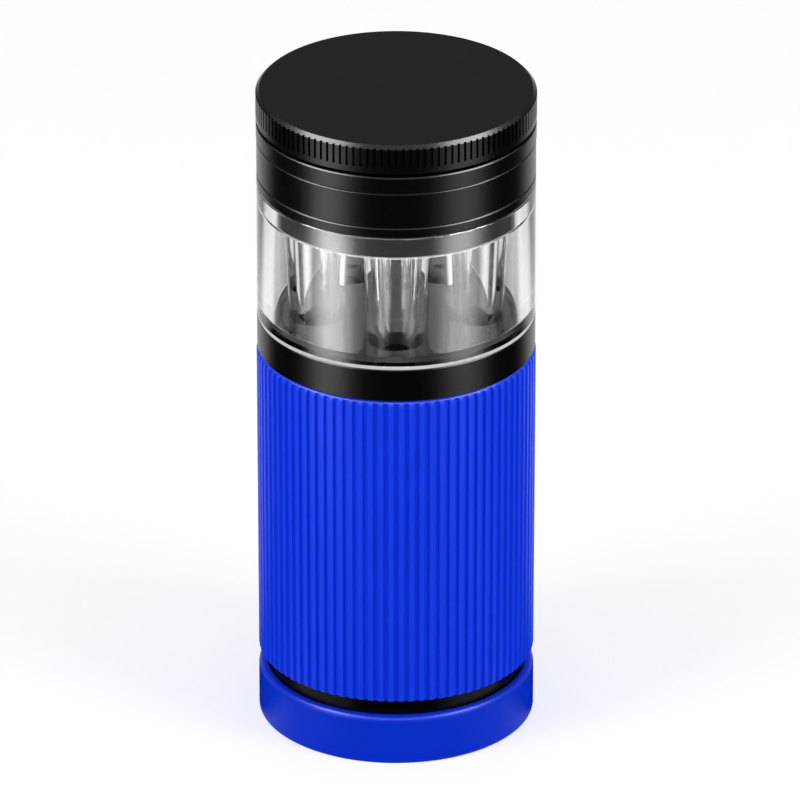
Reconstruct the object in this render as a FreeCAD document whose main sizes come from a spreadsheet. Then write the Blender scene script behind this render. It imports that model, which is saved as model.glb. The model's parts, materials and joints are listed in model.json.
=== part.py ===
import FreeCAD, Part
import os
import re
import Sketcher

# Hand-held herb grinder with a clear funnel section that fills paper cones.
# Millimetres, +Z up, origin at the centre of the base's underside.
# The first funnel faces -Y, which is the front.

doc = FreeCAD.newDocument("cone_filling_grinder")
sheet = doc.addObject("Spreadsheet::Sheet", "Sizes")

SIZES = [
    # Outside radius of the clear window and the black collars, and how the others differ from it
    ("body_radius", 31.6),
    ("lid_overhang", 0.15),
    ("plate_overhang", 0.1),
    ("sleeve_overhang", 0.15),
    ("base_inset", 0.1),
    # Heights that stack up from the table
    ("base_height", 11.75),
    ("base_gap", 3.95),
    ("sleeve_length", 76.4),
    ("tube_collar_height", 7.7),
    ("window_height", 32.65),
    ("retainer_height", 2.45),
    ("collar_height", 8.55),
    ("plate_rim_height", 4.0),
    ("lid_gap", 0.75),
    ("lid_height", 7.0),
    # Base cap
    ("base_floor", 3.0),
    ("base_rim_gap", 0.4),
    ("base_rim_depth", 3.0),
    ("base_edge_round", 0.5),
    ("base_rim_round", 1.4),
    ("gasket_thickness", 1.0),
    ("gasket_inset", 0.35),
    # Tube
    ("tube_wall", 2.0),
    ("thread_step", 0.6),
    ("thread_clearance", 0.1),
    ("shoulder_gap", 0.4),
    ("ledge_thickness", 3.0),
    ("ledge_width", 3.25),
    ("socket_wall", 2.35),
    ("socket_depth", 6.2),
    ("edge_break", 0.25),
    # Grip sleeve
    ("sleeve_wall", 2.5),
    ("sleeve_clearance", 0.05),
    ("sleeve_lip", 0.8),
    ("sleeve_top_round", 2.0),
    ("sleeve_bottom_round", 0.5),
    ("rib_groove_radius", 0.65),
    ("rib_count", 84),
    # Cone rack
    ("tray_clearance", 0.25),
    ("lower_tray_height", 6.0),
    ("upper_tray_height", 4.0),
    ("rack_drop", 1.9),
    ("cone_hole_radius", 6.2),
    ("tip_hole_radius", 3.6),
    ("tip_cup_depth", 3.5),
    ("rack_post_radius", 4.0),
    ("screw_radius", 1.5),
    ("screw_reach", 8.0),
    ("screw_clearance", 0.1),
    ("screw_end_gap", 0.5),
    ("head_radius", 2.9),
    ("head_height", 2.0),
    # Index pins
    ("pin_radius", 0.6),
    ("pin_hold", 2.0),
    ("pin_reach", 2.2),
    ("pin_clearance", 0.15),
    ("pin_end_gap", 0.3),
    # Clear window
    ("window_wall", 4.25),
    ("room_relief", 0.4),
    ("floor_thickness", 2.1),
    ("window_break", 0.4),
    ("window_foot_chamfer", 1.5),
    ("spigot_length", 6.0),
    ("spigot_wall", 3.2),
    ("spigot_clearance", 0.1),
    ("neck_step", 2.6),
    ("neck_engagement", 2.1),
    ("neck_clearance", 0.05),
    # Funnels
    ("funnel_count", 5),
    ("funnel_side_gap", 1.35),
    ("funnel_top_radius", 7.5),
    ("funnel_foot_radius", 6.2),
    ("funnel_mouth_radius", 3.8),
    ("funnel_throat_radius", 2.95),
    ("outlet_wall", 1.1),
    ("outlet_length", 15.0),
    ("funnel_clearance", 0.15),
    ("disc_clearance", 0.15),
    # Hopper cup, on the funnels' tops
    ("cup_drop", 6.0),
    ("cup_floor", 2.0),
    ("cup_wall", 1.2),
    ("cup_clearance", 0.05),
    ("mouth_flare", 1.6),
    # Seals
    ("seal_radius", 0.55),
    ("seal_clearance", 0.05),
    ("seal_groove_width", 1.3),
    ("window_seal_drop", 1.9),
    ("plate_seal_drop", 1.2),
    # Threaded collar
    ("collar_wall", 2.7),
    ("shelf_overlap", 1.95),
    ("shelf_thickness", 1.0),
    # Grinding plate
    ("plate_spigot_length", 4.1),
    ("plate_wall_inset", 2.6),
    ("plate_wall", 2.2),
    ("plate_floor_thickness", 2.5),
    ("plate_post_height", 6.5),
    ("post_radius", 5.6),
    ("post_gap", 0.5),
    ("magnet_radius", 4.0),
    ("magnet_thickness", 2.0),
    ("magnet_clearance", 0.05),
    # Teeth stand in rings, which the lid and the plate take in turn
    ("tooth_radius", 1.9),
    ("tooth_end_gap", 0.8),
    ("first_ring_radius", 8.7),
    ("ring_step", 4.3),
    ("lid_inner_teeth", 5),
    ("lid_outer_teeth", 10),
    ("plate_inner_teeth", 8),
    ("plate_outer_teeth", 14),
    ("inner_drop_radius", 1.9),
    ("inner_drops", 7),
    ("outer_drop_radius", 2.2),
    ("outer_drops", 14),
    # Lid
    ("lid_crown", 2.5),
    ("lid_clearance", 0.2),
    ("lid_chamfer", 0.85),
    ("glide_thickness", 0.8),
    ("glide_inset", 0.15),
    ("knurl_band", 1.7),
    ("knurl_slot_width", 0.6),
    ("knurl_slot_depth", 0.6),
    ("knurl_top_gap", 0.65),
    ("knurl_count", 124),
]

for row, (name, value) in enumerate(SIZES, start=1):
    sheet.set(f"A{row}", name)
    sheet.set(f"B{row}", str(value))
    sheet.setAlias(f"B{row}", name)
doc.recompute()

CELLS = {name: f"Sizes.{name}" for name, value in SIZES}

# Radii
LID_RADIUS = "(body_radius + lid_overhang)"
PLATE_RADIUS = "(body_radius + plate_overhang)"
SLEEVE_RADIUS = "(body_radius + sleeve_overhang)"
BASE_RADIUS = "(body_radius - base_inset)"
TUBE_RADIUS = f"({SLEEVE_RADIUS} - sleeve_wall)"
TUBE_BORE = f"({TUBE_RADIUS} - tube_wall)"
TUBE_THREAD = f"({TUBE_RADIUS} - thread_step)"
LEDGE_BORE = f"({TUBE_BORE} - ledge_width)"
SOCKET_RADIUS = "(body_radius - socket_wall)"
BASE_RIM_BORE = f"({TUBE_RADIUS} + base_rim_gap)"
BASE_BORE = f"({TUBE_THREAD} + thread_clearance)"
TRAY_RADIUS = f"({TUBE_BORE} - tray_clearance)"
WINDOW_BORE = "(body_radius - window_wall)"
DISC_RADIUS = f"({WINDOW_BORE} - disc_clearance)"
ROOM_BORE = f"({WINDOW_BORE} + room_relief)"
CUP_RADIUS = f"({WINDOW_BORE} - cup_clearance)"
CUP_BORE = f"({CUP_RADIUS} - cup_wall)"
SPIGOT_RADIUS = f"({SOCKET_RADIUS} - spigot_clearance)"
SPIGOT_BORE = f"({SPIGOT_RADIUS} - spigot_wall)"
NECK_RADIUS = "(body_radius - neck_step)"
NECK_FIT = f"({NECK_RADIUS} + neck_clearance)"
FUNNEL_PITCH = f"({WINDOW_BORE} - funnel_side_gap - funnel_top_radius)"
OUTLET_RADIUS = "(funnel_throat_radius + outlet_wall)"
COLLAR_SOCKET = "(body_radius - collar_wall)"
SHELF_BORE = f"({WINDOW_BORE} - shelf_overlap)"
PLATE_THREAD = f"({COLLAR_SOCKET} - thread_clearance)"
PLATE_WALL_RADIUS = "(body_radius - plate_wall_inset)"
CHAMBER_RADIUS = f"({PLATE_WALL_RADIUS} - plate_wall)"
LID_BORE = f"({PLATE_WALL_RADIUS} + lid_clearance)"
MAGNET_POCKET = "(magnet_radius + magnet_clearance)"
SCREW_HOLE = "(screw_radius + screw_clearance)"
HEAD_HOLE = "(head_radius + screw_clearance)"
PIN_HOLE = "(pin_radius + pin_clearance)"
TUBE_PIN_PITCH = f"(({TUBE_BORE} + {SOCKET_RADIUS}) / 2)"
RACK_PIN_PITCH = f"(({LEDGE_BORE} + {TRAY_RADIUS}) / 2)"
WINDOW_SEAL_RING = f"({SOCKET_RADIUS} - seal_clearance - seal_radius)"
WINDOW_SEAL_ROOT = f"({WINDOW_SEAL_RING} - seal_radius - seal_clearance)"
PLATE_SEAL_RING = f"({COLLAR_SOCKET} - seal_clearance - seal_radius)"
PLATE_SEAL_ROOT = f"({PLATE_SEAL_RING} - seal_radius - seal_clearance)"
LID_INNER_RING = "first_ring_radius"
PLATE_INNER_RING = "(first_ring_radius + ring_step)"
LID_OUTER_RING = "(first_ring_radius + 2 * ring_step)"
PLATE_OUTER_RING = "(first_ring_radius + 3 * ring_step)"

# Heights
SLEEVE_BOTTOM = "(base_height + base_gap)"
SLEEVE_TOP = f"({SLEEVE_BOTTOM} + sleeve_length)"
TUBE_TOP = f"({SLEEVE_TOP} + tube_collar_height)"
WINDOW_TOP = f"({TUBE_TOP} + window_height)"
RETAINER_TOP = f"({WINDOW_TOP} + retainer_height)"
COLLAR_TOP = f"({RETAINER_TOP} + collar_height)"
PLATE_TOP = f"({COLLAR_TOP} + plate_rim_height)"
LID_BOTTOM = f"({PLATE_TOP} + lid_gap)"
LID_TOP = f"({LID_BOTTOM} + lid_height)"
LID_UNDERSIDE = f"({LID_TOP} - lid_crown)"
PLATE_WALL_TOP = f"({LID_UNDERSIDE} - glide_thickness)"
TUBE_BOTTOM = "(base_floor + gasket_thickness)"
BASE_THREAD_TOP = "(base_height - base_rim_depth)"
TUBE_SHOULDER = f"({BASE_THREAD_TOP} + shoulder_gap)"
RACK_SEAT = f"({TUBE_BOTTOM} + ledge_thickness)"
LOWER_TRAY_TOP = f"({RACK_SEAT} + lower_tray_height)"
SOCKET_FLOOR = f"({TUBE_TOP} - socket_depth)"
SPIGOT_BOTTOM = f"({TUBE_TOP} - spigot_length)"
WINDOW_FLOOR_TOP = f"({TUBE_TOP} + floor_thickness)"
CUP_BOTTOM = f"({WINDOW_TOP} - cup_drop)"
CUP_FLOOR_TOP = f"({CUP_BOTTOM} + cup_floor)"
ROOM_TOP = f"({CUP_BOTTOM} - room_relief)"
OUTLET_BOTTOM = f"({WINDOW_FLOOR_TOP} - outlet_length)"
UPPER_TRAY_TOP = f"({OUTLET_BOTTOM} - rack_drop)"
UPPER_TRAY_BOTTOM = f"({UPPER_TRAY_TOP} - upper_tray_height)"
UPPER_HEAD_SEAT = f"({UPPER_TRAY_TOP} - head_height)"
NECK_TOP = f"({RETAINER_TOP} + neck_engagement)"
SHELF_TOP = f"({NECK_TOP} + shelf_thickness)"
PLATE_SPIGOT_BOTTOM = f"({COLLAR_TOP} - plate_spigot_length)"
CHAMBER_FLOOR = f"({PLATE_SPIGOT_BOTTOM} + plate_floor_thickness)"
PLATE_POST_TOP = f"({CHAMBER_FLOOR} + plate_post_height)"
LID_POST_BOTTOM = f"({PLATE_POST_TOP} + post_gap)"
TOOTH_LENGTH = f"({LID_UNDERSIDE} - {CHAMBER_FLOOR} - tooth_end_gap)"
WINDOW_SEAL_HEIGHT = f"({TUBE_TOP} - window_seal_drop)"
PLATE_SEAL_HEIGHT = f"({COLLAR_TOP} - plate_seal_drop)"
KNURL_BOTTOM = f"({LID_BOTTOM} + knurl_band)"

# Cutters run past the faces that they break through by this much
PAST = 1.0
# Edges this near a named spot are at it
NEAR = 1e-4


def bound(expression):
    """The expression with each size name pointing at its cell in the sheet."""
    return re.sub(r"[a-z_]+", lambda word: CELLS.get(word.group(), word.group()), expression)


def measure(expression):
    """The expression's present value."""
    return float(sheet.evalExpression(bound(expression)))


def bind(item, **expressions):
    """Tie an object's properties to the sheet."""
    for prop, expression in expressions.items():
        item.setExpression(prop, bound(expression))


def place(item, x="0", y="0", z="0"):
    """Tie an object's position to the sheet."""
    for axis, expression in (("x", x), ("y", y), ("z", z)):
        item.setExpression(f"Placement.Base.{axis}", bound(expression))


def origin_of(body, role):
    """One of the body's own origin planes or axes."""
    return next(item for item in body.Origin.OriginFeatures if item.Role == role)


def draw_outline(sketch, outline):
    """A closed outline of straight runs, each corner tied to the sheet."""
    corners = [FreeCAD.Vector(measure(x), measure(y), 0) for x, y in outline]
    for index, corner in enumerate(corners):
        following = corners[(index + 1) % len(corners)]
        sketch.addGeometry(Part.LineSegment(corner, following), False)
    for index, (x, y) in enumerate(outline):
        following = (index + 1) % len(outline)
        sketch.addConstraint(Sketcher.Constraint("Coincident", index, 2, following, 1))
        for kind, axis_line, expression in (("DistanceX", -2, x), ("DistanceY", -1, y)):
            if expression == "0":
                sketch.addConstraint(Sketcher.Constraint("PointOnObject", index, 1, axis_line))
                continue
            number = sketch.addConstraint(
                Sketcher.Constraint(kind, -1, 1, index, 1, measure(expression)))
            sketch.setExpression(f"Constraints[{number}]", bound(expression))


def turned(label, outline):
    """A body of revolution about Z, from (radius, height) corners around its half section."""
    body = doc.addObject("PartDesign::Body", label)
    sketch = body.newObject("Sketcher::SketchObject", label + "_section")
    sketch.AttachmentSupport = [(origin_of(body, "XZ_Plane"), "")]
    sketch.MapMode = "FlatFace"
    draw_outline(sketch, outline)
    revolution = body.newObject("PartDesign::Revolution", label + "_revolution")
    revolution.Profile = sketch
    revolution.ReferenceAxis = (sketch, ["V_Axis"])
    revolution.Angle = 360
    body.Tip = revolution
    doc.recompute()
    return body


def shape_edges(body, kind, size_name, spots):
    """A Fillet or Chamfer along the body's circular edges at the given (radius, height) spots."""
    base = body.Tip
    chosen = []
    for number, edge in enumerate(base.Shape.Edges, start=1):
        if not isinstance(edge.Curve, Part.Circle):
            continue
        for radius, height in spots:
            radius_off = abs(edge.Curve.Radius - measure(radius))
            height_off = abs(edge.Curve.Center.z - measure(height))
            if radius_off + height_off < NEAR:
                chosen.append(f"Edge{number}")
    feature = body.newObject(f"PartDesign::{kind}", f"{body.Label}_{kind.lower()}")
    feature.Base = (base, chosen)
    feature.setExpression("Radius" if kind == "Fillet" else "Size", bound(size_name))
    body.Tip = feature
    doc.recompute()


def solid(body, kind, x="0", y="0", z="0", **sizes):
    """An additive or subtractive primitive of the body."""
    feature = body.newObject(f"PartDesign::{kind}", f"{body.Label}_{kind.lower()}")
    bind(feature, **sizes)
    place(feature, x, y, z)
    body.Tip = feature
    return feature


def around(body, features, count):
    """Repeat features evenly about Z."""
    pattern = body.newObject("PartDesign::PolarPattern", f"{body.Label}_pattern")
    pattern.Originals = features
    pattern.Axis = (origin_of(body, "Z_Axis"), [""])
    pattern.Angle = 360
    bind(pattern, Occurrences=count)
    body.Tip = pattern
    doc.recompute()


def group(label, members):
    """Separate solids that share one node."""
    compound = doc.addObject("Part::Compound", label)
    compound.Links = members
    return compound


def ring_of_teeth(label, ring_radius, count, bottom):
    """Diamond teeth on one ring, each a solid of its own."""
    teeth = []
    for number in range(round(measure(count))):
        turn = f"({number} * 360 deg / {count})"
        tooth = doc.addObject("Part::Prism", f"{label}_{number + 1}")
        tooth.Polygon = 4
        bind(tooth, Circumradius="tooth_radius", Height=TOOTH_LENGTH)
        place(tooth, f"{ring_radius} * cos({turn})", f"{ring_radius} * sin({turn})", bottom)
        tooth.setExpression("Placement.Rotation.Angle", bound(turn))
        teeth.append(tooth)
    return teeth


def ring_of_drops(body, ring_radius, hole_radius, count):
    """Holes through the grinding plate's floor on one ring."""
    drop = solid(body, "SubtractiveCylinder", x=ring_radius, z=f"{PLATE_SPIGOT_BOTTOM} - {PAST}",
                 Radius=hole_radius, Height=f"plate_floor_thickness + {2 * PAST}")
    around(body, [drop], count)


def o_ring(label, ring_radius, height):
    """A round-section seal."""
    seal = doc.addObject("Part::Torus", label)
    bind(seal, Radius1=ring_radius, Radius2="seal_radius")
    place(seal, z=height)
    return seal


def rod(label, radius, height, y="0", z="0"):
    """A plain upright cylinder, such as a pin or a disc magnet."""
    cylinder = doc.addObject("Part::Cylinder", label)
    bind(cylinder, Radius=radius, Height=height)
    place(cylinder, y=y, z=z)
    return cylinder


def base_cap():
    body = turned("base_cap", [
        ("0", "0"), (BASE_RADIUS, "0"),
        (BASE_RADIUS, "base_height"), (BASE_RIM_BORE, "base_height"),
        (BASE_RIM_BORE, BASE_THREAD_TOP), (BASE_BORE, BASE_THREAD_TOP),
        (BASE_BORE, "base_floor"), ("0", "base_floor")])
    shape_edges(body, "Fillet", "base_edge_round", [(BASE_RADIUS, "0")])
    shape_edges(body, "Fillet", "base_rim_round", [(BASE_RADIUS, "base_height")])
    return body


def base_gasket():
    inner = f"{LEDGE_BORE} + gasket_inset"
    outer = f"{TUBE_THREAD} - gasket_inset"
    return turned("base_gasket", [
        (inner, "base_floor"), (outer, "base_floor"), (outer, TUBE_BOTTOM), (inner, TUBE_BOTTOM)])


def tube_body():
    body = turned("tube_body", [
        (LEDGE_BORE, TUBE_BOTTOM), (TUBE_THREAD, TUBE_BOTTOM),
        (TUBE_THREAD, TUBE_SHOULDER), (TUBE_RADIUS, TUBE_SHOULDER),
        (TUBE_RADIUS, SLEEVE_TOP), ("body_radius", SLEEVE_TOP),
        ("body_radius", TUBE_TOP), (SOCKET_RADIUS, TUBE_TOP),
        (SOCKET_RADIUS, SOCKET_FLOOR), (TUBE_BORE, SOCKET_FLOOR),
        (TUBE_BORE, RACK_SEAT), (LEDGE_BORE, RACK_SEAT)])
    shape_edges(body, "Chamfer", "edge_break", [("body_radius", TUBE_TOP), (TUBE_THREAD, TUBE_BOTTOM)])
    solid(body, "SubtractiveCylinder", y=TUBE_PIN_PITCH, z=f"{SOCKET_FLOOR} - pin_hold",
          Radius="pin_radius", Height=f"pin_hold + {PAST}")
    solid(body, "SubtractiveCylinder", y=RACK_PIN_PITCH, z=f"{RACK_SEAT} - pin_hold",
          Radius="pin_radius", Height=f"pin_hold + {PAST}")
    return body


def grip_sleeve():
    bore = f"{TUBE_RADIUS} + sleeve_clearance"
    body = turned("grip_sleeve", [
        (bore, SLEEVE_BOTTOM), (SLEEVE_RADIUS, SLEEVE_BOTTOM),
        (SLEEVE_RADIUS, SLEEVE_TOP), (bore, SLEEVE_TOP)])
    shape_edges(body, "Fillet", "sleeve_top_round", [(SLEEVE_RADIUS, SLEEVE_TOP)])
    shape_edges(body, "Fillet", "sleeve_bottom_round", [(SLEEVE_RADIUS, SLEEVE_BOTTOM)])
    groove = solid(body, "SubtractiveCylinder", x=SLEEVE_RADIUS, z=f"{SLEEVE_BOTTOM} - {PAST}",
                   Radius="rib_groove_radius", Height=f"sleeve_length - sleeve_lip + {PAST}")
    around(body, [groove], "rib_count")
    return body


def cone_rack_upper():
    body = turned("cone_rack_upper", [
        (SCREW_HOLE, UPPER_TRAY_BOTTOM), (TRAY_RADIUS, UPPER_TRAY_BOTTOM),
        (TRAY_RADIUS, UPPER_TRAY_TOP), (HEAD_HOLE, UPPER_TRAY_TOP),
        (HEAD_HOLE, UPPER_HEAD_SEAT), (SCREW_HOLE, UPPER_HEAD_SEAT)])
    hole = solid(body, "SubtractiveCylinder", y=f"-{FUNNEL_PITCH}", z=f"{UPPER_TRAY_BOTTOM} - {PAST}",
                 Radius="cone_hole_radius", Height=f"upper_tray_height + {2 * PAST}")
    around(body, [hole], "funnel_count")
    return body


def cone_rack_lower():
    body = turned("cone_rack_lower", [
        (HEAD_HOLE, RACK_SEAT), (TRAY_RADIUS, RACK_SEAT),
        (TRAY_RADIUS, LOWER_TRAY_TOP), (SCREW_HOLE, LOWER_TRAY_TOP),
        (SCREW_HOLE, f"{RACK_SEAT} + head_height"), (HEAD_HOLE, f"{RACK_SEAT} + head_height")])
    hole = solid(body, "SubtractiveCylinder", y=f"-{FUNNEL_PITCH}", z=f"{RACK_SEAT} - {PAST}",
                 Radius="tip_hole_radius", Height=f"lower_tray_height + {2 * PAST}")
    cup = solid(body, "SubtractiveCone", y=f"-{FUNNEL_PITCH}", z=f"{LOWER_TRAY_TOP} - tip_cup_depth",
                Radius1="tip_hole_radius", Radius2="cone_hole_radius", Height="tip_cup_depth")
    around(body, [hole, cup], "funnel_count")
    solid(body, "SubtractiveCylinder", y=RACK_PIN_PITCH, z=f"{RACK_SEAT} - {PAST}",
          Radius=PIN_HOLE, Height=f"pin_reach + pin_end_gap + {PAST}")
    return body


def rack_post():
    drill = "(screw_reach + screw_end_gap)"
    lower = f"{LOWER_TRAY_TOP} + {drill}"
    upper = f"{UPPER_TRAY_BOTTOM} - {drill}"
    return turned("rack_post", [
        (SCREW_HOLE, LOWER_TRAY_TOP), ("rack_post_radius", LOWER_TRAY_TOP),
        ("rack_post_radius", UPPER_TRAY_BOTTOM), (SCREW_HOLE, UPPER_TRAY_BOTTOM),
        (SCREW_HOLE, upper), ("0", upper), ("0", lower), (SCREW_HOLE, lower)])


def rack_screws():
    upper_end = f"{UPPER_TRAY_BOTTOM} - screw_reach"
    lower_seat = f"{RACK_SEAT} + head_height"
    lower_end = f"{LOWER_TRAY_TOP} + screw_reach"
    upper = turned("upper_rack_screw", [
        ("0", upper_end), ("screw_radius", upper_end), ("screw_radius", UPPER_HEAD_SEAT),
        ("head_radius", UPPER_HEAD_SEAT), ("head_radius", UPPER_TRAY_TOP), ("0", UPPER_TRAY_TOP)])
    lower = turned("lower_rack_screw", [
        ("0", RACK_SEAT), ("head_radius", RACK_SEAT), ("head_radius", lower_seat),
        ("screw_radius", lower_seat), ("screw_radius", lower_end), ("0", lower_end)])
    return group("rack_screws", [upper, lower])


def index_pins():
    length = "pin_hold + pin_reach"
    window_pin = rod("window_pin", "pin_radius", length, y=TUBE_PIN_PITCH, z=f"{SOCKET_FLOOR} - pin_hold")
    rack_pin = rod("rack_pin", "pin_radius", length, y=RACK_PIN_PITCH, z=f"{RACK_SEAT} - pin_hold")
    return group("index_pins", [window_pin, rack_pin])


def clear_window():
    groove_low = f"{WINDOW_SEAL_HEIGHT} - seal_groove_width / 2"
    groove_high = f"{WINDOW_SEAL_HEIGHT} + seal_groove_width / 2"
    body = turned("clear_window", [
        (SPIGOT_BORE, SPIGOT_BOTTOM), (SPIGOT_RADIUS, SPIGOT_BOTTOM),
        (SPIGOT_RADIUS, groove_low), (WINDOW_SEAL_ROOT, groove_low),
        (WINDOW_SEAL_ROOT, groove_high), (SPIGOT_RADIUS, groove_high),
        (SPIGOT_RADIUS, TUBE_TOP), ("body_radius", TUBE_TOP),
        ("body_radius", WINDOW_TOP), (NECK_RADIUS, WINDOW_TOP),
        (NECK_RADIUS, NECK_TOP), (WINDOW_BORE, NECK_TOP),
        (WINDOW_BORE, CUP_BOTTOM), (ROOM_BORE, ROOM_TOP),
        (ROOM_BORE, TUBE_TOP), (SPIGOT_BORE, TUBE_TOP)])
    shape_edges(body, "Chamfer", "window_break", [("body_radius", WINDOW_TOP)])
    shape_edges(body, "Chamfer", "window_foot_chamfer", [("body_radius", TUBE_TOP)])
    solid(body, "SubtractiveCylinder", y=TUBE_PIN_PITCH, z=f"{SPIGOT_BOTTOM} - {PAST}",
          Radius=PIN_HOLE, Height=f"pin_reach + pin_end_gap + {PAST}")
    return body


def window_floor():
    body = turned("window_floor", [
        ("0", TUBE_TOP), (DISC_RADIUS, TUBE_TOP), (DISC_RADIUS, WINDOW_FLOOR_TOP), ("0", WINDOW_FLOOR_TOP)])
    hole = solid(body, "SubtractiveCylinder", y=f"-{FUNNEL_PITCH}", z=f"{TUBE_TOP} - {PAST}",
                 Radius=f"{OUTLET_RADIUS} + funnel_clearance", Height=f"floor_thickness + {2 * PAST}")
    around(body, [hole], "funnel_count")
    return body


def funnel(number):
    turn = f"({number} * 360 deg / funnel_count - 90 deg)"
    body = turned(f"funnel_{number + 1}", [
        ("funnel_throat_radius", OUTLET_BOTTOM), (OUTLET_RADIUS, OUTLET_BOTTOM),
        (OUTLET_RADIUS, WINDOW_FLOOR_TOP), ("funnel_foot_radius", WINDOW_FLOOR_TOP),
        ("funnel_top_radius", CUP_BOTTOM), ("funnel_mouth_radius", CUP_BOTTOM),
        ("funnel_throat_radius", WINDOW_FLOOR_TOP)])
    place(body, f"{FUNNEL_PITCH} * cos({turn})", f"{FUNNEL_PITCH} * sin({turn})")
    return body


def hopper_cup():
    body = turned("hopper_cup", [
        ("0", CUP_BOTTOM), (CUP_RADIUS, CUP_BOTTOM), (CUP_RADIUS, NECK_TOP),
        (CUP_BORE, NECK_TOP), (CUP_BORE, CUP_FLOOR_TOP), ("0", CUP_FLOOR_TOP)])
    hole = solid(body, "SubtractiveCone", y=f"-{FUNNEL_PITCH}", z=CUP_BOTTOM,
                 Radius1="funnel_mouth_radius", Radius2="funnel_mouth_radius + mouth_flare",
                 Height="cup_floor")
    around(body, [hole], "funnel_count")
    return body


def retainer_ring():
    body = turned("retainer_ring", [
        (NECK_FIT, WINDOW_TOP), ("body_radius", WINDOW_TOP),
        ("body_radius", RETAINER_TOP), (NECK_FIT, RETAINER_TOP)])
    shape_edges(body, "Chamfer", "edge_break", [("body_radius", WINDOW_TOP), ("body_radius", RETAINER_TOP)])
    return body


def threaded_collar():
    body = turned("threaded_collar", [
        (NECK_FIT, RETAINER_TOP), ("body_radius", RETAINER_TOP),
        ("body_radius", COLLAR_TOP), (COLLAR_SOCKET, COLLAR_TOP),
        (COLLAR_SOCKET, SHELF_TOP), (SHELF_BORE, SHELF_TOP),
        (SHELF_BORE, NECK_TOP), (NECK_FIT, NECK_TOP)])
    shape_edges(body, "Chamfer", "edge_break", [("body_radius", RETAINER_TOP), ("body_radius", COLLAR_TOP)])
    return body


def grinding_plate():
    groove_low = f"{PLATE_SEAL_HEIGHT} - seal_groove_width / 2"
    groove_high = f"{PLATE_SEAL_HEIGHT} + seal_groove_width / 2"
    pocket_floor = f"{PLATE_POST_TOP} - magnet_thickness"
    body = turned("grinding_plate", [
        ("0", PLATE_SPIGOT_BOTTOM), (PLATE_THREAD, PLATE_SPIGOT_BOTTOM),
        (PLATE_THREAD, groove_low), (PLATE_SEAL_ROOT, groove_low),
        (PLATE_SEAL_ROOT, groove_high), (PLATE_THREAD, groove_high),
        (PLATE_THREAD, COLLAR_TOP), (PLATE_RADIUS, COLLAR_TOP),
        (PLATE_RADIUS, PLATE_TOP), (PLATE_WALL_RADIUS, PLATE_TOP),
        (PLATE_WALL_RADIUS, PLATE_WALL_TOP), (CHAMBER_RADIUS, PLATE_WALL_TOP),
        (CHAMBER_RADIUS, CHAMBER_FLOOR), ("post_radius", CHAMBER_FLOOR),
        ("post_radius", PLATE_POST_TOP), (MAGNET_POCKET, PLATE_POST_TOP),
        (MAGNET_POCKET, pocket_floor), ("0", pocket_floor)])
    shape_edges(body, "Chamfer", "edge_break", [(PLATE_RADIUS, COLLAR_TOP), (PLATE_RADIUS, PLATE_TOP)])
    ring_of_drops(body, LID_INNER_RING, "inner_drop_radius", "inner_drops")
    ring_of_drops(body, LID_OUTER_RING, "outer_drop_radius", "outer_drops")
    return body


def plate_teeth():
    inner = ring_of_teeth("plate_inner_tooth", PLATE_INNER_RING, "plate_inner_teeth", CHAMBER_FLOOR)
    outer = ring_of_teeth("plate_outer_tooth", PLATE_OUTER_RING, "plate_outer_teeth", CHAMBER_FLOOR)
    return group("plate_teeth", inner + outer)


def lid_glide_ring():
    inner = f"{CHAMBER_RADIUS} + glide_inset"
    outer = f"{PLATE_WALL_RADIUS} - glide_inset"
    return turned("lid_glide_ring", [
        (inner, PLATE_WALL_TOP), (outer, PLATE_WALL_TOP), (outer, LID_UNDERSIDE), (inner, LID_UNDERSIDE)])


def grinder_lid():
    pocket_roof = f"{LID_POST_BOTTOM} + magnet_thickness"
    body = turned("grinder_lid", [
        (LID_BORE, LID_BOTTOM), (LID_RADIUS, LID_BOTTOM),
        (LID_RADIUS, LID_TOP), ("0", LID_TOP),
        ("0", pocket_roof), (MAGNET_POCKET, pocket_roof),
        (MAGNET_POCKET, LID_POST_BOTTOM), ("post_radius", LID_POST_BOTTOM),
        ("post_radius", LID_UNDERSIDE), (LID_BORE, LID_UNDERSIDE)])
    shape_edges(body, "Chamfer", "lid_chamfer", [(LID_RADIUS, LID_TOP)])
    shape_edges(body, "Chamfer", "edge_break", [(LID_RADIUS, LID_BOTTOM)])
    slot = solid(body, "SubtractiveBox", x=f"{LID_RADIUS} - knurl_slot_depth", y="-knurl_slot_width / 2",
                 z=KNURL_BOTTOM, Length=f"knurl_slot_depth + {PAST}", Width="knurl_slot_width",
                 Height="lid_height - knurl_band - knurl_top_gap")
    around(body, [slot], "knurl_count")
    return body


def lid_teeth():
    bottom = f"{LID_UNDERSIDE} - {TOOTH_LENGTH}"
    inner = ring_of_teeth("lid_inner_tooth", LID_INNER_RING, "lid_inner_teeth", bottom)
    outer = ring_of_teeth("lid_outer_tooth", LID_OUTER_RING, "lid_outer_teeth", bottom)
    return group("lid_teeth", inner + outer)


NODES = [
    base_cap(),
    base_gasket(),
    tube_body(),
    grip_sleeve(),
    cone_rack_lower(),
    cone_rack_upper(),
    rack_post(),
    rack_screws(),
    index_pins(),
    clear_window(),
    window_floor(),
    *[funnel(number) for number in range(round(measure("funnel_count")))],
    hopper_cup(),
    o_ring("window_seal", WINDOW_SEAL_RING, WINDOW_SEAL_HEIGHT),
    retainer_ring(),
    threaded_collar(),
    o_ring("plate_seal", PLATE_SEAL_RING, PLATE_SEAL_HEIGHT),
    grinding_plate(),
    plate_teeth(),
    rod("plate_magnet", "magnet_radius", "magnet_thickness", z=f"{PLATE_POST_TOP} - magnet_thickness"),
    lid_glide_ring(),
    grinder_lid(),
    lid_teeth(),
    rod("lid_magnet", "magnet_radius", "magnet_thickness", z=LID_POST_BOTTOM),
]

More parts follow.
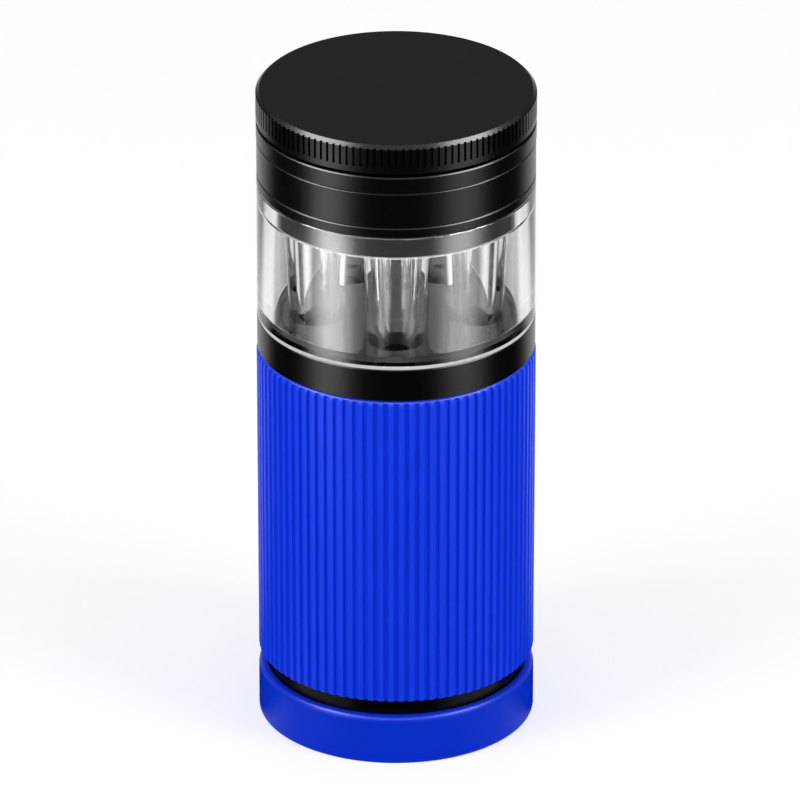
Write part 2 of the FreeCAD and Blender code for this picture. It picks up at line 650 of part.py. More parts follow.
doc.recompute()
for item in doc.Objects:
    if "Invalid" in item.State or "Error" in item.State:
        raise RuntimeError(f"{item.Label} did not recompute: {item.State}")
for node in NODES:
    if node.Shape.isNull() or not node.Shape.isValid():
        raise RuntimeError(f"{node.Label} has no valid shape")
    members = node.Links if node.TypeId == "Part::Compound" else [node]
    if len(node.Shape.Solids) != len(members):
        raise RuntimeError(f"{node.Label} holds {len(node.Shape.Solids)} solids, not {len(members)}")

os.makedirs("parts", exist_ok=True)
for node in NODES:
    node.Shape.exportStep(f"parts/{node.Label}.step")
    print(f"{node.Label}: {node.Shape.Volume:.1f} mm3")
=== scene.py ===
import json
import math

import bmesh
import bpy
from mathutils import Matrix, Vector

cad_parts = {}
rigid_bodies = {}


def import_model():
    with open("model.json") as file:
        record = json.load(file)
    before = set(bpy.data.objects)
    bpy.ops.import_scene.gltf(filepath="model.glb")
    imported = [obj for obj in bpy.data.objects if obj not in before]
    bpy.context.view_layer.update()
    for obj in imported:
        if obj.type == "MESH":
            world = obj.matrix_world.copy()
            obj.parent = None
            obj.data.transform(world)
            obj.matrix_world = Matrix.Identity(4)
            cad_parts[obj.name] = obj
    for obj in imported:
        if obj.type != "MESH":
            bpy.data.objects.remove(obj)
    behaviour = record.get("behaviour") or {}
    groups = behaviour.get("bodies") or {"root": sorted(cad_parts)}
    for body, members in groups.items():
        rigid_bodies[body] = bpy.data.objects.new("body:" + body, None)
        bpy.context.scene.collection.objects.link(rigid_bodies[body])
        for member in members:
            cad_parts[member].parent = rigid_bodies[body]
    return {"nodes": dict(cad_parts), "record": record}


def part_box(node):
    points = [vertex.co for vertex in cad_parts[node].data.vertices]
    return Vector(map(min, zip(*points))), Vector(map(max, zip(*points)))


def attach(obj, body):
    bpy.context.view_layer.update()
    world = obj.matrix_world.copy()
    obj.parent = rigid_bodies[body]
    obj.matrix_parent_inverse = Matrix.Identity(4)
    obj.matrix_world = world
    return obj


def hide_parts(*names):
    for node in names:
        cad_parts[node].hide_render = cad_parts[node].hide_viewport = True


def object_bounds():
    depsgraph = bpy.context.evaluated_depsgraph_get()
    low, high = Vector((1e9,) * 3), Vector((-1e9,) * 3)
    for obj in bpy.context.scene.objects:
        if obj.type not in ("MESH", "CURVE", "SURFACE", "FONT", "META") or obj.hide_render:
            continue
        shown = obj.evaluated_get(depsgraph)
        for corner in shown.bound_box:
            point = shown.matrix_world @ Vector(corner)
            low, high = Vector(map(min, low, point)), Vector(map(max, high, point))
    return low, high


# Looks of the cone-filling herb grinder, in metres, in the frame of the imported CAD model.

for leftover in list(bpy.data.objects):
    bpy.data.objects.remove(leftover)

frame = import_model()
CAD_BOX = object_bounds()
NODES = frame["nodes"]
FUNNELS = [node for node in NODES if node.startswith("funnel_") and node[-1].isdigit()]
MM = 0.001

# Camera, as read from the photograph's ellipses and widths
CAMERA_DISTANCE = 3.0
CAMERA_ELEVATION = math.radians(26.012)
CAMERA_LENS = 592.9
CAMERA_SENSOR = 36
CAMERA_REACH = 100
AIM = Vector((0.86 * MM, 0, 76.98 * MM))

# Rubber grip sleeve
RIB_COUNT = 84
RIB_STEPS = 20
RIB_DEPTH = 0.8 * MM
# Shares of a rib's pitch: the groove's floor, and the groove with its flanks
RIB_FLOOR_SHARE = 0.36
RIB_GROOVE_SHARE = 0.58
RIB_END = 0.4 * MM
SLEEVE_WALL = 2.45 * MM
SLEEVE_LIP = 0.8 * MM
SLEEVE_TAPER = 0.25 * MM
SLEEVE_TOP_ROUND = 2.0 * MM
SLEEVE_BOTTOM_ROUND = 0.5 * MM
CROWN_STEPS = 40

# Clear section
WINDOW_TOP_ROUND = 0.4 * MM
ROOM_RELIEF = 0.4 * MM
FOOT_CHAMFER = 0.95 * MM
CUP_GAP = 0.06 * MM
# A thin grey disc under the clear floor is painted shade: its heights over the foot, and its gap around
# each funnel's bore
SHADE_SHEET_HEIGHTS = (0.05 * MM, 0.15 * MM)
SHADE_SHEET_GAP = 0.3 * MM
# White line of the ground foot: its depths under the wall's face, and its heights over the foot
FOOT_LINE = (0.04 * MM, 0.1 * MM)
FOOT_LINE_HEIGHTS = (0.04 * MM, 0.82 * MM)
# Thickness of the ground lip's ring, greyer than the foot's as painted shade, and how far it stands off
# the lip
LIP_SKIN = 0.01 * MM

# Seals
SEAL_STEPS = 24
GASKET_ROUND = 0.25 * MM

# Meshes
SEGMENTS = 256
HOLE_SEGMENTS = 64
ROUND_STEPS = 8
LEVEL = 0.01 * MM
SHARP_ANGLE = 40
RIB_SHARP_ANGLE = 60

# Fine structure of the finishes: texture scales, bump heights, and spreads of tone and roughness
NOISE_DETAIL = 2.0
ANODISED_SHEEN_SCALE = 900
ANODISED_GRAIN_SCALE = 5200
ANODISED_GRAIN = 0.002 * MM
ANODISED_LINE_SCALE = 1100
ANODISED_LINE = 0.0012 * MM
ANODISED_SPREAD = 0.03
METAL_SHEEN_SCALE = 1500
METAL_LINE_SCALE = 1600
METAL_LINE = 0.002 * MM
ACRYLIC_WAVE_SCALE = 90
ACRYLIC_WAVE = 0.01 * MM
ACRYLIC_WAVE_STRENGTH = 0.05
GROUND_GRAIN_SCALE = 1800
GROUND_SHADE = (0.93, 0.94, 0.95)
GROUND_GLOW_SHARE = 0.6
MOULDED_TONE_SCALE = 240
MOULDED_SHEEN_SCALE = 700
MOULDED_GRAIN_SCALE = 4200
MOULDED_DARK = 0.93
MOULDED_LIGHT = 1.05
ROUGHNESS_SPREAD = 0.05


# Materials

def shader_of(name, color, roughness, **sockets):
    """A new Principled material and the parts of its node tree."""
    material = bpy.data.materials.new(name)
    material.use_nodes = True
    tree = material.node_tree
    shader = tree.nodes["Principled BSDF"]
    shader.inputs["Base Color"].default_value = (*color, 1)
    shader.inputs["Roughness"].default_value = roughness
    for socket, value in sockets.items():
        shader.inputs[socket.replace("_", " ")].default_value = value
    return material, tree, shader


def bare_material(name):
    """A new material without a shader, and its node tree."""
    material = bpy.data.materials.new(name)
    material.use_nodes = True
    tree = material.node_tree
    tree.nodes.remove(tree.nodes["Principled BSDF"])
    return material, tree


def mixed(tree, first, second):
    """Give a bare material's surface a mix of two shaders, and return its share of the second."""
    mix = tree.nodes.new("ShaderNodeMixShader")
    tree.links.new(first.outputs["BSDF"], mix.inputs[1])
    tree.links.new(second.outputs["BSDF"], mix.inputs[2])
    tree.links.new(mix.outputs["Shader"], tree.nodes["Material Output"].inputs["Surface"])
    return mix.inputs["Fac"]


def noise(tree, scale):
    """Noise in the row frame, so that it stays with the object."""
    place = tree.nodes.new("ShaderNodeTexCoord")
    texture = tree.nodes.new("ShaderNodeTexNoise")
    texture.inputs["Scale"].default_value = scale
    texture.inputs["Detail"].default_value = NOISE_DETAIL
    tree.links.new(place.outputs["Object"], texture.inputs["Vector"])
    return texture.outputs["Fac"]


def waves(tree, kind, scale):
    """Fine lathe lines: rings about Z on flat faces, or bands along Z on walls."""
    place = tree.nodes.new("ShaderNodeTexCoord")
    texture = tree.nodes.new("ShaderNodeTexWave")
    texture.wave_type = kind
    if kind == "RINGS":
        texture.rings_direction = "Z"
    else:
        texture.bands_direction = "Z"
    texture.inputs["Scale"].default_value = scale
    texture.inputs["Distortion"].default_value = 0.0
    tree.links.new(place.outputs["Object"], texture.inputs["Vector"])
    return texture.outputs["Fac"]


def add_bump(tree, shader, height, distance, strength=1.0):
    """Lay one more height field over what already shapes the shader's normal."""
    bump = tree.nodes.new("ShaderNodeBump")
    bump.inputs["Strength"].default_value = strength
    bump.inputs["Distance"].default_value = distance
    tree.links.new(height, bump.inputs["Height"])
    if shader.inputs["Normal"].links:
        tree.links.new(shader.inputs["Normal"].links[0].from_socket, bump.inputs["Normal"])
    tree.links.new(bump.outputs["Normal"], shader.inputs["Normal"])


def add_lathe_lines(tree, shader, scale, height):
    """Lathe lines on flat faces and on walls."""
    for kind in ("RINGS", "BANDS"):
        add_bump(tree, shader, waves(tree, kind, scale), height)


def spread(tree, value, low, high, socket):
    """Map a 0 to 1 value onto a range, into a socket."""
    span = tree.nodes.new("ShaderNodeMapRange")
    span.inputs["To Min"].default_value = low
    span.inputs["To Max"].default_value = high
    tree.links.new(value, span.inputs["Value"])
    tree.links.new(span.outputs["Result"], socket)


def vary_roughness(tree, shader, scale, roughness, by=ROUGHNESS_SPREAD):
    """Let the roughness vary a little over the surface."""
    spread(tree, noise(tree, scale), roughness - by, roughness + by, shader.inputs["Roughness"])


def tint(tree, value, dark, light, socket):
    """Blend two colours by a 0 to 1 value, into a colour socket."""
    ramp = tree.nodes.new("ShaderNodeValToRGB")
    ramp.color_ramp.elements[0].color = (*dark, 1)
    ramp.color_ramp.elements[1].color = (*light, 1)
    tree.links.new(value, ramp.inputs["Fac"])
    tree.links.new(ramp.outputs["Color"], socket)


def anodised(name, color, roughness, specular):
    """Turned and anodised aluminium, seen as its coloured skin."""
    material, tree, shader = shader_of(name, color, roughness, Specular_IOR_Level=specular)
    vary_roughness(tree, shader, ANODISED_SHEEN_SCALE, roughness, ANODISED_SPREAD)
    add_bump(tree, shader, noise(tree, ANODISED_GRAIN_SCALE), ANODISED_GRAIN)
    add_lathe_lines(tree, shader, ANODISED_LINE_SCALE, ANODISED_LINE)
    return material


def turned_metal(name, color, roughness):
    material, tree, shader = shader_of(name, color, roughness, Metallic=1.0)
    vary_roughness(tree, shader, METAL_SHEEN_SCALE, roughness)
    add_lathe_lines(tree, shader, METAL_LINE_SCALE, METAL_LINE)
    return material


def clear(name, color, roughness, ior):
    """A clear moulding with faintly wavy faces."""
    material, tree, shader = shader_of(name, color, roughness, Transmission_Weight=1.0, IOR=ior)
    add_bump(tree, shader, noise(tree, ACRYLIC_WAVE_SCALE), ACRYLIC_WAVE, ACRYLIC_WAVE_STRENGTH)
    return material


def ground_acrylic(name, tone):
    """Acrylic left as cut: white on both sides, and lit through by the clear piece behind it."""
    material, tree = bare_material(name)
    face = tree.nodes.new("ShaderNodeBsdfDiffuse")
    glow = tree.nodes.new("ShaderNodeBsdfTranslucent")
    grain = noise(tree, GROUND_GRAIN_SCALE)
    dark = tuple(part * tone for part in GROUND_SHADE)
    for shader in (face, glow):
        tint(tree, grain, dark, (tone, tone, tone), shader.inputs["Color"])
    mixed(tree, face, glow).default_value = GROUND_GLOW_SHARE
    return material


def moulded(name, color, roughness, grain, specular=0.4):
    """A moulded plastic or rubber with a fine grain and a little unevenness of tone."""
    material, tree, shader = shader_of(name, color, roughness, Specular_IOR_Level=specular)
    dark = tuple(MOULDED_DARK * part for part in color)
    light = tuple(min(1.0, MOULDED_LIGHT * part) for part in color)
    tint(tree, noise(tree, MOULDED_TONE_SCALE), dark, light, shader.inputs["Base Color"])
    vary_roughness(tree, shader, MOULDED_SHEEN_SCALE, roughness)
    add_bump(tree, shader, noise(tree, MOULDED_GRAIN_SCALE), grain)
    return material


# The clear pieces' index is a little under acrylic's 1.49, so that they reflect as in the photograph
FINISHES = {
    "black_aluminium": anodised("anodised_black", (0.0008, 0.0008, 0.0009), 0.26, 0.12),
    "bare_aluminium": turned_metal("aluminium_turned", (0.70, 0.70, 0.72), 0.32),
    "steel": turned_metal("steel_bright", (0.55, 0.55, 0.56), 0.28),
    "magnet_nickel": turned_metal("nickel_plate", (0.75, 0.75, 0.74), 0.15),
    "clear_acrylic": clear("acrylic_clear", (0.97, 0.975, 0.98), 0.02, 1.42),
    "blue_silicone": moulded("silicone_blue", (0.003, 0.048, 0.82), 0.36, 0.004 * MM, 0.1),
    "blue_plastic": moulded("plastic_blue", (0.0, 0.030, 0.62), 0.32, 0.002 * MM, 0.07),
    "rack_plastic": moulded("plastic_rack", (0.012, 0.012, 0.013), 0.5, 0.004 * MM),
    "seal_rubber": moulded("rubber_seal", (0.02, 0.02, 0.02), 0.6, 0.004 * MM),
    "white_nylon": moulded("nylon_white", (0.80, 0.80, 0.77), 0.4, 0.002 * MM),
}
GROUND_FOOT = ground_acrylic("acrylic_ground_foot", 0.97)
# The lip's cut edge takes a darker tone than the foot's, which is painted shade
SHADED_GROUND_LIP = ground_acrylic("acrylic_ground_lip_painted_shade", 0.6)
# Grey of the disc under the clear floor, painted shade
PAINTED_SHADE_SHEET = moulded("painted_shade_grey", (0.05, 0.05, 0.053), 0.5, 0.004 * MM)


# Shapes

def shown(name, shape, slot, body, replaced, sharp=SHARP_ANGLE, finish=None):
    """Turn a finished bmesh into a piece of the looks that may stand for CAD nodes."""
    bmesh.ops.recalc_face_normals(shape, faces=shape.faces)
    mesh = bpy.data.meshes.new(name)
    shape.to_mesh(mesh)
    shape.free()
    mesh.shade_smooth()
    mesh.set_sharp_from_angle(angle=math.radians(sharp))
    mesh.materials.append(finish or FINISHES[slot])
    piece = bpy.data.objects.new(name, mesh)
    bpy.context.scene.collection.objects.link(piece)
    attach(piece, body)
    if replaced:
        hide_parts(*replaced)


def clamped(value):
    return min(1.0, max(0.0, value))


def circle(shape, radius, height, count=SEGMENTS, centre=(0, 0)):
    """A ring of new corners."""
    ring = []
    for step in range(count):
        angle = 2 * math.pi * step / count
        ring.append(shape.verts.new((centre[0] + radius * math.cos(angle),
                                     centre[1] + radius * math.sin(angle), height)))
    return ring


def skin(shape, rings, closed=False):
    """Faces between rings that follow one another."""
    pairs = list(zip(rings, rings[1:]))
    if closed:
        pairs.append((rings[-1], rings[0]))
    for ring, following in pairs:
        for step, corner in enumerate(ring):
            after = (step + 1) % len(ring)
            shape.faces.new((corner, ring[after], following[after], following[step]))


def holed_face(shape, loops):
    """A flat face inside the first loop and outside the others."""
    edges = []
    for loop in loops:
        for step, corner in enumerate(loop):
            pair = (corner, loop[(step + 1) % len(loop)])
            edges.append(shape.edges.get(pair) or shape.edges.new(pair))
    bmesh.ops.triangle_fill(shape, use_beauty=True, edges=edges)


def radii_at(node, height, centre=(0, 0)):
    """Smallest and largest radius about a centre among a CAD node's corners at a height."""
    radii = [math.hypot(corner.co.x - centre[0], corner.co.y - centre[1])
             for corner in NODES[node].data.vertices if abs(corner.co.z - height) < LEVEL]
    return min(radii), max(radii)


def arc(centre, radius, start, end, steps=ROUND_STEPS):
    """Points of an arc in the (radius, height) plane, angles in degrees."""
    points = []
    for step in range(steps + 1):
        angle = math.radians(start + (end - start) * step / steps)
        points.append((centre[0] + radius * math.cos(angle), centre[1] + radius * math.sin(angle)))
    return points


def turned(name, outline, slot, body, replaced, finish=None):
    """A ring turned about Z from a closed (radius, height) outline that keeps off the axis."""
    shape = bmesh.new()
    skin(shape, [circle(shape, radius, height) for radius, height in outline], closed=True)
    shown(name, shape, slot, body, replaced, finish=finish)


def rib_depth(turn):
    """How far the sleeve's face lies below its crests, at a turn counted in ribs."""
    away = 2 * abs(turn - round(turn))
    rise = clamped((away - RIB_FLOOR_SHARE) / (RIB_GROOVE_SHARE - RIB_FLOOR_SHARE))
    return RIB_DEPTH * (1 - rise * rise * (3 - 2 * rise))


def grip_sleeve():
    """The ribbed sleeve, whose grooves end in rounded tips under a smooth lip."""
    low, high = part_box("grip_sleeve")
    radius = high.x
    bore = radius - SLEEVE_WALL
    groove_end = high.z - SLEEVE_LIP
    foot_round = arc((radius - SLEEVE_BOTTOM_ROUND, low.z + SLEEVE_BOTTOM_ROUND),
                     SLEEVE_BOTTOM_ROUND, -90, 0)
    crown = arc((radius - SLEEVE_TOP_ROUND, high.z - SLEEVE_TOP_ROUND),
                SLEEVE_TOP_ROUND, 0, 90, CROWN_STEPS)
    # Each row is (radius, height, share of the grooves' depth)
    rows = [(reach, height, 1.0) for reach, height in foot_round]
    for reach, height in crown:
        share = clamped((height - groove_end) / RIB_END + 1)
        rows.append((reach, height, math.sqrt(1 - share ** 2)))
    rows.append((bore, high.z, 0.0))
    rows.append((bore, low.z, 0.0))
    shape = bmesh.new()
    rings = []
    for reach, height, share in rows:
        ring = circle(shape, radius, height, RIB_COUNT * RIB_STEPS)
        narrower = SLEEVE_TAPER * (high.z - height) / (high.z - low.z) if reach > bore else 0.0
        for column, corner in enumerate(ring):
            out = (min(reach, radius - share * rib_depth(column / RIB_STEPS)) - narrower) / radius
            corner.co.x *= out
            corner.co.y *= out
        rings.append(ring)
    skin(shape, rings, closed=True)
    shown("grip_sleeve_ribbed", shape, "blue_silicone", "tube", ["grip_sleeve"], RIB_SHARP_ANGLE)


def funnel_outline(node, foot, floor):
    """A funnel's centre, throat and (radius, height) outline, from the floor's top to its underside."""
    lowest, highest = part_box(node)
    centre = (lowest + highest) / 2
    mouth, head = radii_at(node, highest.z, centre)
    throat, shoulder = radii_at(node, floor, centre)
    outlet = radii_at(node, lowest.z, centre)[1]
    tip = highest.z - CUP_GAP
    outline = [(shoulder, floor), (head, tip), (mouth, tip), (throat, floor), (throat, lowest.z),
               (outlet, lowest.z), (outlet, foot)]
    return centre, throat, outline


def clear_section():
    """Wall, floor and funnels in one clear moulding, since their joints don't show."""
    low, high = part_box("clear_window")
    foot, floor = (corner.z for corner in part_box("window_floor"))
    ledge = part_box("hopper_cup")[0].z
    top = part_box("retainer_ring")[0].z
    seat = radii_at("clear_window", ledge)[1]
    neck = radii_at("clear_window", high.z)[1]
    spigot_bore, spigot = radii_at("clear_window", low.z)
    lip = [(seat + ROOM_RELIEF, ledge - ROOM_RELIEF), (seat, ledge)]
    outline = [(seat + ROOM_RELIEF, floor), *lip, (seat, high.z), (neck, high.z), (neck, top)]
    outline += arc((high.x - WINDOW_TOP_ROUND, top - WINDOW_TOP_ROUND), WINDOW_TOP_ROUND, 90, 0)
    outline += [(high.x, foot + FOOT_CHAMFER), (high.x - FOOT_CHAMFER, foot), (spigot, foot),
                (spigot, low.z), (spigot_bore, low.z), (spigot_bore, foot)]
    shape = bmesh.new()
    rings = [circle(shape, radius, height) for radius, height in outline]
    skin(shape, rings)
    above = [rings[0]]
    below = [rings[-1]]
    holes = []
    for node in FUNNELS:
        centre, throat, outline = funnel_outline(node, foot, floor)
        rings = [circle(shape, radius, height, HOLE_SEGMENTS, centre) for radius, height in outline]
        skin(shape, rings)
        above.append(rings[0])
        below.append(rings[-1])
        holes.append((centre, throat + SHADE_SHEET_GAP))
    holed_face(shape, above)
    holed_face(shape, below)
    shown("clear_section", shape, "clear_acrylic", "funnel_section", ["clear_window", *FUNNELS])
    floor_shade_sheet(foot, spigot_bore, holes)
    ground_edges(high.x, foot, lip)


def floor_shade_sheet(foot, radius, holes):
    """A thin grey disc under the clear floor, painted shade for the dark seen through it, with a hole
    around each funnel's bore.
    """
    shape = bmesh.new()
    faces = [[circle(shape, radius, foot + height)] for height in SHADE_SHEET_HEIGHTS]
    for centre, reach in holes:
        for loops, height in zip(faces, SHADE_SHEET_HEIGHTS):
            loops.append(circle(shape, reach, foot + height, HOLE_SEGMENTS, centre))
    for loops in faces:
        holed_face(shape, loops)
    for pair in zip(*faces):
        skin(shape, pair)
    shown("floor_shade_sheet", shape, "clear_acrylic", "funnel_section", ["window_floor"], finish=PAINTED_SHADE_SHEET)


def ground_edges(wall, foot, lip):
    """The white look of the clear wall's two edges that are left as cut, as thin rings over them; the
    lip's ring is greyer, which is painted shade.
    """
    outer, inner = (wall - inset for inset in FOOT_LINE)
    under, over = (foot + height for height in FOOT_LINE_HEIGHTS)
    foot_line = [(outer, under), (outer, over), (inner, over), (inner, under)]
    turned("window_foot_edge", foot_line, "clear_acrylic", "funnel_section", [], GROUND_FOOT)
    start, end = lip
    middle = ((start[0] + end[0]) / 2, (start[1] + end[1]) / 2)
    off = math.sqrt(0.5) * LIP_SKIN
    near = [(radius - off, height - off) for radius, height in (middle, end)]
    far = [(radius - 2 * off, height - 2 * off) for radius, height in (end, middle)]
    turned("window_lip_edge", near + far, "clear_acrylic", "funnel_section", [], SHADED_GROUND_LIP)


def o_ring(node, body):
    """A round-section seal in place of its CAD ring."""
    low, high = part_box(node)
    section = (high.z - low.z) / 2
    centre = (high.x - section, (high.z + low.z) / 2)
    outline = arc(centre, section, 0, 360 - 360 / SEAL_STEPS, SEAL_STEPS - 1)
    turned(node + "_ring", outline, "seal_rubber", body, [node])


def base_gasket():
    """A flat ring with soft edges in place of its CAD ring."""
    low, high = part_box("base_gasket")
    bore = min(math.hypot(corner.co.x, corner.co.y) for corner in NODES["base_gasket"].data.vertices)
    outer = high.x - GASKET_ROUND
    inner = bore + GASKET_ROUND
    under = low.z + GASKET_ROUND
    over = high.z - GASKET_ROUND
    outline = arc((outer, under), GASKET_ROUND, -90, 0)
    outline += arc((outer, over), GASKET_ROUND, 0, 90)
    outline += arc((inner, over), GASKET_ROUND, 90, 180)
    outline += arc((inner, under), GASKET_ROUND, 180, 270)
    turned("base_gasket_ring", outline, "seal_rubber", "base_washer", ["base_gasket"])


def dress_nodes():
    """Give every CAD node the finish of its material slot."""
    for subpart in frame["record"]["subparts"]:
        NODES[subpart["node"]].data.materials[0] = FINISHES[subpart["material_slot"]]


dress_nodes()
grip_sleeve()
clear_section()
o_ring("window_seal", "funnel_section")
o_ring("plate_seal", "plate_washer")
base_gasket()


# Studio

FLOOR_SIZE = 8.0
FLOOR_COLOR = 0.6
FLOOR_LIFT = 0.5
FILL = 0.6
# Strips stand on the floor beside the object and show in reflections and through clear pieces
STRIP_DISTANCE = 0.18
STRIP_AZIMUTH = 53
STRIP_WIDTH = 0.15
STRIP_HEIGHT = 0.22
STRIP_LIFT = 2 * MM
STRIP_POWER = 0.58
# Each side's name, sign in X and share of the strips' power
SIDES = (("left", -1, 1.25), ("right", 1, 0.68))
# Soft keys from both sides of the front light the colours
KEY_DISTANCE = 1.2
KEY_AZIMUTH = 58
KEY_ELEVATION = 30
KEY_SIZE = (0.5, 0.5)
KEY_POWER = 5.0
# High boxes on both sides, above and in front that only show in reflections, on faces that tilt up
RIM_DISTANCE = 0.6
RIM_AZIMUTH = 73
RIM_ELEVATION = 53
RIM_SIZE = (0.26, 0.26)
RIM_POWER = 12.0
OVERHEAD_PLACE = Vector((0, -0.1, 1.2))
OVERHEAD_SIZE = (0.5, 0.5)
OVERHEAD_POWER = 2.0
FRONT_DISTANCE = 1.0
FRONT_ELEVATION = 46
FRONT_SIZE = (1.2, 0.35)
FRONT_POWER = 24.0
# Dark cards on the floor that show in reflections and through the clear wall, each as its two
# azimuths and its cover
FLAGS = ((-40, 40, 1.0), (68, 132, 1.0), (-132, -68, 1.0))
# One more on the floor behind the object, which only shows through the clear wall
REAR_FLAG = (150, 210, 0.8)
FLAG_SOFT = 14
FLAG_REACH = 0.7
FLAG_LIFT = 0.3 * MM
# A dark card that stands behind the object and only shows in reflections
BACK_CARD_HALF_WIDTH = 0.9
BACK_CARD_DISTANCE = 0.6
BACK_CARD_HEIGHTS = (0.15, 1.0)
BACK_CARD_COVER = 0.7


def seen_rays(tree):
    """1 for rays from the camera, a reflection or a clear piece, and 0 for light on the object."""
    path = tree.nodes.new("ShaderNodeLightPath")
    total = path.outputs["Is Camera Ray"]
    for name in ("Is Glossy Ray", "Is Transmission Ray"):
        either = tree.nodes.new("ShaderNodeMath")
        either.operation = "MAXIMUM"
        tree.links.new(total, either.inputs[0])
        tree.links.new(path.outputs[name], either.inputs[1])
        total = either.outputs["Value"]
    return total


def studio_floor():
    """A pale floor that takes the object's shadow and is lifted to white where it is seen."""
    bpy.ops.mesh.primitive_plane_add(size=FLOOR_SIZE)
    floor = bpy.context.object
    floor.name = "floor"
    material, tree = bare_material("floor_white")
    matt = tree.nodes.new("ShaderNodeBsdfDiffuse")
    matt.inputs["Color"].default_value = (FLOOR_COLOR, FLOOR_COLOR, FLOOR_COLOR, 1)
    lift = tree.nodes.new("ShaderNodeEmission")
    spread(tree, seen_rays(tree), 0.0, FLOOR_LIFT, lift.inputs["Strength"])
    both = tree.nodes.new("ShaderNodeAddShader")
    tree.links.new(matt.outputs["BSDF"], both.inputs[0])
    tree.links.new(lift.outputs["Emission"], both.inputs[1])
    tree.links.new(both.outputs["Shader"], tree.nodes["Material Output"].inputs["Surface"])
    floor.data.materials.append(material)


def studio_world():
    """A world that is white where it is seen and fills in the light on the object."""
    world = bpy.data.worlds.new("studio")
    bpy.context.scene.world = world
    world.use_nodes = True
    tree = world.node_tree
    background = tree.nodes["Background"]
    background.inputs["Color"].default_value = (1, 1, 1, 1)
    spread(tree, seen_rays(tree), FILL, 1.0, background.inputs["Strength"])


def softbox(name, place, aim, size, power, on_colours=False):
    """An area light that neither the camera nor clear pieces show, and that may light colours."""
    light = bpy.data.lights.new(name, "AREA")
    light.shape = "RECTANGLE"
    light.size, light.size_y = size
    light.energy = power
    lamp = bpy.data.objects.new(name, light)
    bpy.context.scene.collection.objects.link(lamp)
    lamp.location = place
    lamp.rotation_euler = (aim - place).to_track_quat("-Z", "Y").to_euler()
    lamp.visible_camera = False
    lamp.visible_transmission = False
    lamp.visible_diffuse = on_colours
    return lamp


def fade_sides(lamp):
    """Let a softbox's light fall off from its middle towards its two upright edges."""
    light = lamp.data
    light.use_nodes = True
    tree = light.node_tree
    place = tree.nodes.new("ShaderNodeNewGeometry")
    across = tree.nodes.new("ShaderNodeSeparateXYZ")
    ramp = tree.nodes.new("ShaderNodeValToRGB")
    ramp.color_ramp.interpolation = "EASE"
    ramp.color_ramp.elements[0].color = (0, 0, 0, 1)
    ramp.color_ramp.elements[1].color = (0, 0, 0, 1)
    ramp.color_ramp.elements.new(0.5).color = (1, 1, 1, 1)
    tree.links.new(place.outputs["Parametric"], across.inputs["Vector"])
    tree.links.new(across.outputs["X"], ramp.inputs["Fac"])
    tree.links.new(ramp.outputs["Color"], tree.nodes["Emission"].inputs["Strength"])


def around(azimuth, elevation, distance):
    """A spot around the object, azimuth counted from the front towards +X."""
    turn = math.radians(azimuth)
    rise = math.radians(elevation)
    level = distance * math.cos(rise)
    return Vector((level * math.sin(turn), -level * math.cos(turn), distance * math.sin(rise)))


def studio_lights():
    middle = Vector((0, 0, STRIP_HEIGHT / 2 + STRIP_LIFT))
    for name, side, share in SIDES:
        spot = middle + around(side * STRIP_AZIMUTH, 0, STRIP_DISTANCE)
        strip = softbox("strip_" + name, spot, middle, (STRIP_WIDTH, STRIP_HEIGHT), share * STRIP_POWER)
        fade_sides(strip)
        strip.visible_transmission = True
        spot = around(side * KEY_AZIMUTH, KEY_ELEVATION, KEY_DISTANCE)
        softbox("key_" + name, spot, middle, KEY_SIZE, KEY_POWER, on_colours=True)
        spot = around(side * RIM_AZIMUTH, RIM_ELEVATION, RIM_DISTANCE)
        softbox("rim_" + name, spot, middle, RIM_SIZE, RIM_POWER)
    softbox("overhead", OVERHEAD_PLACE, middle, OVERHEAD_SIZE, OVERHEAD_POWER)
    spot = middle + around(0, FRONT_ELEVATION, FRONT_DISTANCE)
    softbox("front", spot, middle, FRONT_SIZE, FRONT_POWER)


def flag_material():
    """Black laid over clear by each corner's cover."""
    material, tree = bare_material("flag_black")
    dark = tree.nodes.new("ShaderNodeBsdfDiffuse")
    dark.inputs["Color"].default_value = (0, 0, 0, 1)
    open_part = tree.nodes.new("ShaderNodeBsdfTransparent")
    cover = tree.nodes.new("ShaderNodeAttribute")
    cover.attribute_name = "cover"
    tree.links.new(cover.outputs["Fac"], mixed(tree, open_part, dark))
    return material


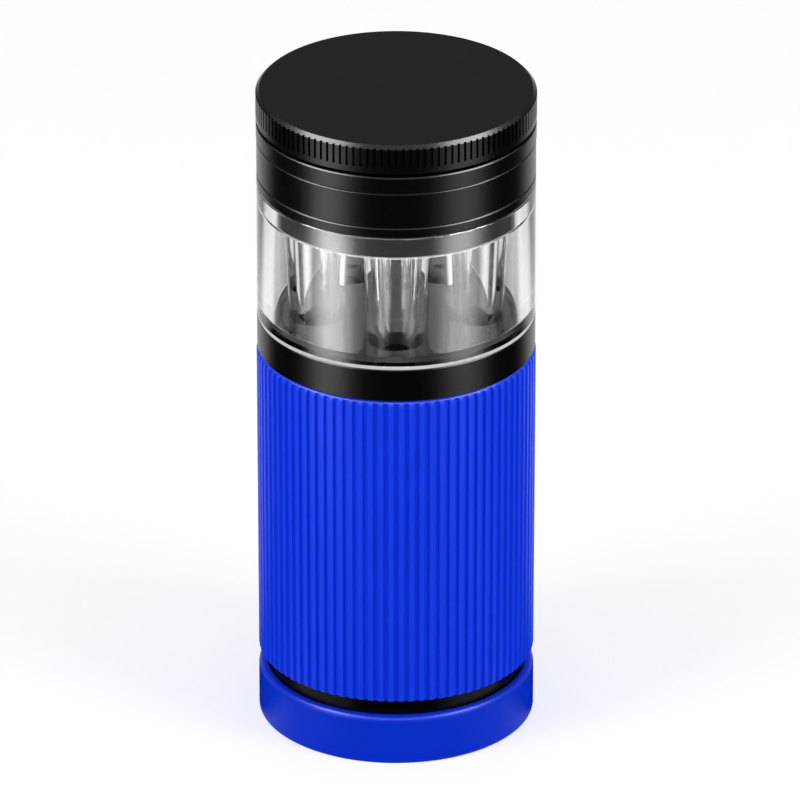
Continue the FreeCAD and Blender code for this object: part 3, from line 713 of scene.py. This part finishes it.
def dark_card(name, vertices, covers, faces, material):
    """A card that dims what reflections and clear pieces show behind it, by each corner's cover."""
    mesh = bpy.data.meshes.new(name)
    mesh.from_pydata(vertices, [], faces)
    mesh.attributes.new("cover", "FLOAT", "POINT").data.foreach_set("value", covers)
    mesh.materials.append(material)
    card = bpy.data.objects.new(name, mesh)
    bpy.context.scene.collection.objects.link(card)
    card.visible_camera = False
    card.visible_diffuse = False
    card.visible_shadow = False
    return card


def floor_flag(name, start, end, cover, material):
    """A dark card on the floor around the object, between two azimuths, that fades out at both."""
    stops = [start, start + FLAG_SOFT, end - FLAG_SOFT, end]
    turns = [low + (high - low) * step / ROUND_STEPS for low, high in zip(stops, stops[1:])
             for step in range(ROUND_STEPS)] + [end]
    vertices = []
    covers = []
    for turn in turns:
        for reach in (CAD_BOX[1].x, FLAG_REACH):
            spot = around(turn, 0, reach)
            vertices.append((spot.x, spot.y, FLAG_LIFT))
            covers.append(cover * clamped(min(turn - start, end - turn) / FLAG_SOFT))
    faces = [(2 * step, 2 * step + 1, 2 * step + 3, 2 * step + 2) for step in range(len(turns) - 1)]
    return dark_card(name, vertices, covers, faces, material)


def back_card(material):
    """The dark card that stands behind the object."""
    low, high = BACK_CARD_HEIGHTS
    corners = ((-1, low), (1, low), (1, high), (-1, high))
    vertices = [(side * BACK_CARD_HALF_WIDTH, BACK_CARD_DISTANCE, height) for side, height in corners]
    covers = [BACK_CARD_COVER] * len(corners)
    return dark_card("back_card", vertices, covers, [(0, 1, 2, 3)], material)


def studio_flags():
    material = flag_material()
    for number, flag in enumerate(FLAGS, start=1):
        floor_flag(f"flag_{number}", *flag, material)
    rear = floor_flag("flag_rear", *REAR_FLAG, material)
    rear.visible_glossy = False
    back = back_card(material)
    back.visible_transmission = False


def studio_camera():
    camera = bpy.data.objects.new("camera", bpy.data.cameras.new("camera"))
    bpy.context.scene.collection.objects.link(camera)
    camera.data.sensor_width = CAMERA_SENSOR
    camera.data.lens = CAMERA_LENS
    camera.data.clip_end = CAMERA_REACH
    back = Vector((0, -math.cos(CAMERA_ELEVATION), math.sin(CAMERA_ELEVATION)))
    camera.location = AIM + CAMERA_DISTANCE * back
    camera.rotation_euler = (math.pi / 2 - CAMERA_ELEVATION, 0, 0)
    bpy.context.scene.camera = camera


studio_floor()
studio_world()
studio_lights()
studio_flags()
studio_camera()
bpy.context.scene.view_settings.view_transform = "Standard"
